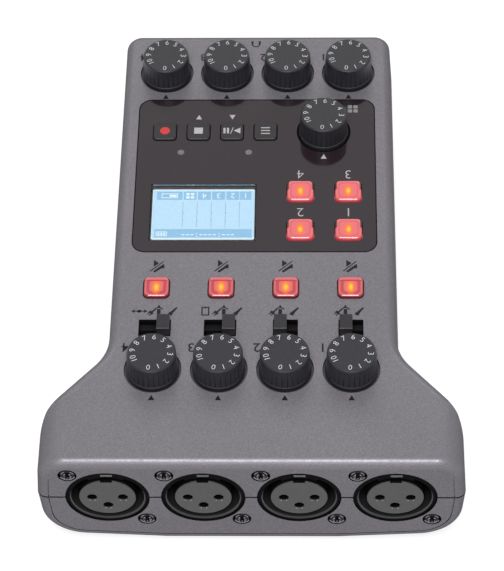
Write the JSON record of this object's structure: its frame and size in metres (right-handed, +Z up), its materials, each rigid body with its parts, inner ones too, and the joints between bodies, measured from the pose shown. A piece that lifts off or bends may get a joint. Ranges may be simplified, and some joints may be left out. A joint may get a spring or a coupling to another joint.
{
  "type": "podcast recorder",
  "caption": "Compact tabletop podcast recorder with microphone inputs, gain and headphone dials, lit pads and a small display.",
  "frame": {"origin": "on the supporting surface, under the middle of the case's length and width", "axes": "+Z up, +Y towards the microphone sockets, +X to the right of a user who reads the panel"},
  "size_m": [0.1128, 0.155, 0.046],
  "materials": {
    "case": "satin",
    "panel": "gloss",
    "dials": "satin",
    "lit_buttons": "satin",
    "keys": "satin",
    "window": "clear",
    "display": "satin",
    "sockets": "satin",
    "contacts": "plated",
    "screws": "black",
    "shafts": "turned",
    "boards": "satin",
    "rubber": "matte",
    "cells": "satin"
  },
  "bodies": {
    "case": {"top_case": "case", "bottom_case": "case", "control_panel": "panel", "rubber_feet": "rubber", "case_screws": "screws", "socket_screws": "screws", "lcd_window": "window", "lcd_module": "display", "circuit_boards": "boards", "potentiometers": "sockets", "tact_switches": "sockets", "slide_switches": "sockets", "xlr_socket_1": "sockets", "xlr_socket_2": "sockets", "xlr_socket_3": "sockets", "xlr_socket_4": "sockets", "xlr_inserts": "sockets", "xlr_contacts": "contacts", "headphone_jacks": "sockets", "usb_ports": "contacts", "phone_jack": "sockets", "card_slot": "contacts", "battery_contacts": "contacts", "battery_cells": "cells"},
    "gain_dial_1": {"gain_knob_1": "dials", "gain_shaft_1": "shafts"},
    "phones_dial_1": {"phones_knob_1": "dials", "phones_shaft_1": "shafts"},
    "gain_dial_2": {"gain_knob_2": "dials", "gain_shaft_2": "shafts"},
    "phones_dial_2": {"phones_knob_2": "dials", "phones_shaft_2": "shafts"},
    "gain_dial_3": {"gain_knob_3": "dials", "gain_shaft_3": "shafts"},
    "phones_dial_3": {"phones_knob_3": "dials", "phones_shaft_3": "shafts"},
    "gain_dial_4": {"gain_knob_4": "dials", "gain_shaft_4": "shafts"},
    "phones_dial_4": {"phones_knob_4": "dials", "phones_shaft_4": "shafts"},
    "pad_level_dial": {"pad_level_knob": "dials", "pad_level_shaft": "shafts"},
    "mute_button_1": {"mute_button_1": "lit_buttons"},
    "mute_button_2": {"mute_button_2": "lit_buttons"},
    "mute_button_3": {"mute_button_3": "lit_buttons"},
    "mute_button_4": {"mute_button_4": "lit_buttons"},
    "pad_button_a": {"pad_button_a": "lit_buttons"},
    "pad_button_b": {"pad_button_b": "lit_buttons"},
    "pad_button_c": {"pad_button_c": "lit_buttons"},
    "pad_button_d": {"pad_button_d": "lit_buttons"},
    "menu_key": {"menu_key": "keys"},
    "play_key": {"play_key": "keys"},
    "stop_key": {"stop_key": "keys"},
    "record_key": {"record_key": "keys"},
    "input_switch_1": {"input_switch_1": "keys"},
    "input_switch_2": {"input_switch_2": "keys"},
    "input_switch_3": {"input_switch_3": "keys"},
    "input_switch_4": {"input_switch_4": "keys"},
    "power_switch": {"power_switch": "keys"},
    "battery_cover": {"battery_cover": "case"}
  },
  "joints": [
    {"name": "gain_1_turn", "type": "hinge", "parent": "case", "child": "gain_dial_1", "pos_m": [-0.0264, 0.0469, 0.0384], "axis": [0, 0, -1], "range_deg": [0, 300]},
    {"name": "phones_1_turn", "type": "hinge", "parent": "case", "child": "phones_dial_1", "pos_m": [-0.0264, -0.0612, 0.0384], "axis": [0, 0, -1], "range_deg": [0, 300]},
    {"name": "gain_2_turn", "type": "hinge", "parent": "case", "child": "gain_dial_2", "pos_m": [-0.0088, 0.0469, 0.0384], "axis": [0, 0, -1], "range_deg": [0, 300]},
    {"name": "phones_2_turn", "type": "hinge", "parent": "case", "child": "phones_dial_2", "pos_m": [-0.0088, -0.0612, 0.0384], "axis": [0, 0, -1], "range_deg": [0, 300]},
    {"name": "gain_3_turn", "type": "hinge", "parent": "case", "child": "gain_dial_3", "pos_m": [0.0088, 0.0469, 0.0384], "axis": [0, 0, -1], "range_deg": [0, 300]},
    {"name": "phones_3_turn", "type": "hinge", "parent": "case", "child": "phones_dial_3", "pos_m": [0.0088, -0.0612, 0.0384], "axis": [0, 0, -1], "range_deg": [0, 300]},
    {"name": "gain_4_turn", "type": "hinge", "parent": "case", "child": "gain_dial_4", "pos_m": [0.0264, 0.0469, 0.0384], "axis": [0, 0, -1], "range_deg": [0, 300]},
    {"name": "phones_4_turn", "type": "hinge", "parent": "case", "child": "phones_dial_4", "pos_m": [0.0264, -0.0612, 0.0384], "axis": [0, 0, -1], "range_deg": [0, 300]},
    {"name": "pad_level_turn", "type": "hinge", "parent": "case", "child": "pad_level_dial", "pos_m": [-0.0192, -0.0381, 0.0384], "axis": [0, 0, -1], "range_deg": [0, 300]},
    {"name": "mute_button_1_press", "type": "slide", "parent": "case", "child": "mute_button_1", "axis": [0, 0, -1], "range_m": [0, 0.0008], "stiffness_N_per_m": 1200, "springref_m": -0.0002},
    {"name": "mute_button_2_press", "type": "slide", "parent": "case", "child": "mute_button_2", "axis": [0, 0, -1], "range_m": [0, 0.0008], "stiffness_N_per_m": 1200, "springref_m": -0.0002},
    {"name": "mute_button_3_press", "type": "slide", "parent": "case", "child": "mute_button_3", "axis": [0, 0, -1], "range_m": [0, 0.0008], "stiffness_N_per_m": 1200, "springref_m": -0.0002},
    {"name": "mute_button_4_press", "type": "slide", "parent": "case", "child": "mute_button_4", "axis": [0, 0, -1], "range_m": [0, 0.0008], "stiffness_N_per_m": 1200, "springref_m": -0.0002},
    {"name": "pad_button_a_press", "type": "slide", "parent": "case", "child": "pad_button_a", "axis": [0, 0, -1], "range_m": [0, 0.0008], "stiffness_N_per_m": 1200, "springref_m": -0.0002},
    {"name": "pad_button_b_press", "type": "slide", "parent": "case", "child": "pad_button_b", "axis": [0, 0, -1], "range_m": [0, 0.0008], "stiffness_N_per_m": 1200, "springref_m": -0.0002},
    {"name": "pad_button_c_press", "type": "slide", "parent": "case", "child": "pad_button_c", "axis": [0, 0, -1], "range_m": [0, 0.0008], "stiffness_N_per_m": 1200, "springref_m": -0.0002},
    {"name": "pad_button_d_press", "type": "slide", "parent": "case", "child": "pad_button_d", "axis": [0, 0, -1], "range_m": [0, 0.0008], "stiffness_N_per_m": 1200, "springref_m": -0.0002},
    {"name": "menu_key_press", "type": "slide", "parent": "case", "child": "menu_key", "axis": [0, 0, -1], "range_m": [0, 0.0008], "stiffness_N_per_m": 1200, "springref_m": -0.0002},
    {"name": "play_key_press", "type": "slide", "parent": "case", "child": "play_key", "axis": [0, 0, -1], "range_m": [0, 0.0008], "stiffness_N_per_m": 1200, "springref_m": -0.0002},
    {"name": "stop_key_press", "type": "slide", "parent": "case", "child": "stop_key", "axis": [0, 0, -1], "range_m": [0, 0.0008], "stiffness_N_per_m": 1200, "springref_m": -0.0002},
    {"name": "record_key_press", "type": "slide", "parent": "case", "child": "record_key", "axis": [0, 0, -1], "range_m": [0, 0.0008], "stiffness_N_per_m": 1200, "springref_m": -0.0002},
    {"name": "input_switch_1_slide", "type": "slide", "parent": "case", "child": "input_switch_1", "axis": [-1, 0, 0], "range_m": [0, 0.0027]},
    {"name": "input_switch_2_slide", "type": "slide", "parent": "case", "child": "input_switch_2", "axis": [-1, 0, 0], "range_m": [0, 0.0027]},
    {"name": "input_switch_3_slide", "type": "slide", "parent": "case", "child": "input_switch_3", "axis": [1, 0, 0], "range_m": [0, 0.0047]},
    {"name": "input_switch_4_slide", "type": "slide", "parent": "case", "child": "input_switch_4", "axis": [1, 0, 0], "range_m": [0, 0.0047]},
    {"name": "power_switch_slide", "type": "slide", "parent": "case", "child": "power_switch", "axis": [0, 1, 0], "range_m": [0, 0.0035]},
    {"name": "battery_cover_slide", "type": "slide", "parent": "case", "child": "battery_cover", "axis": [0, -1, 0], "range_m": [0, 0.076]}
  ]
}
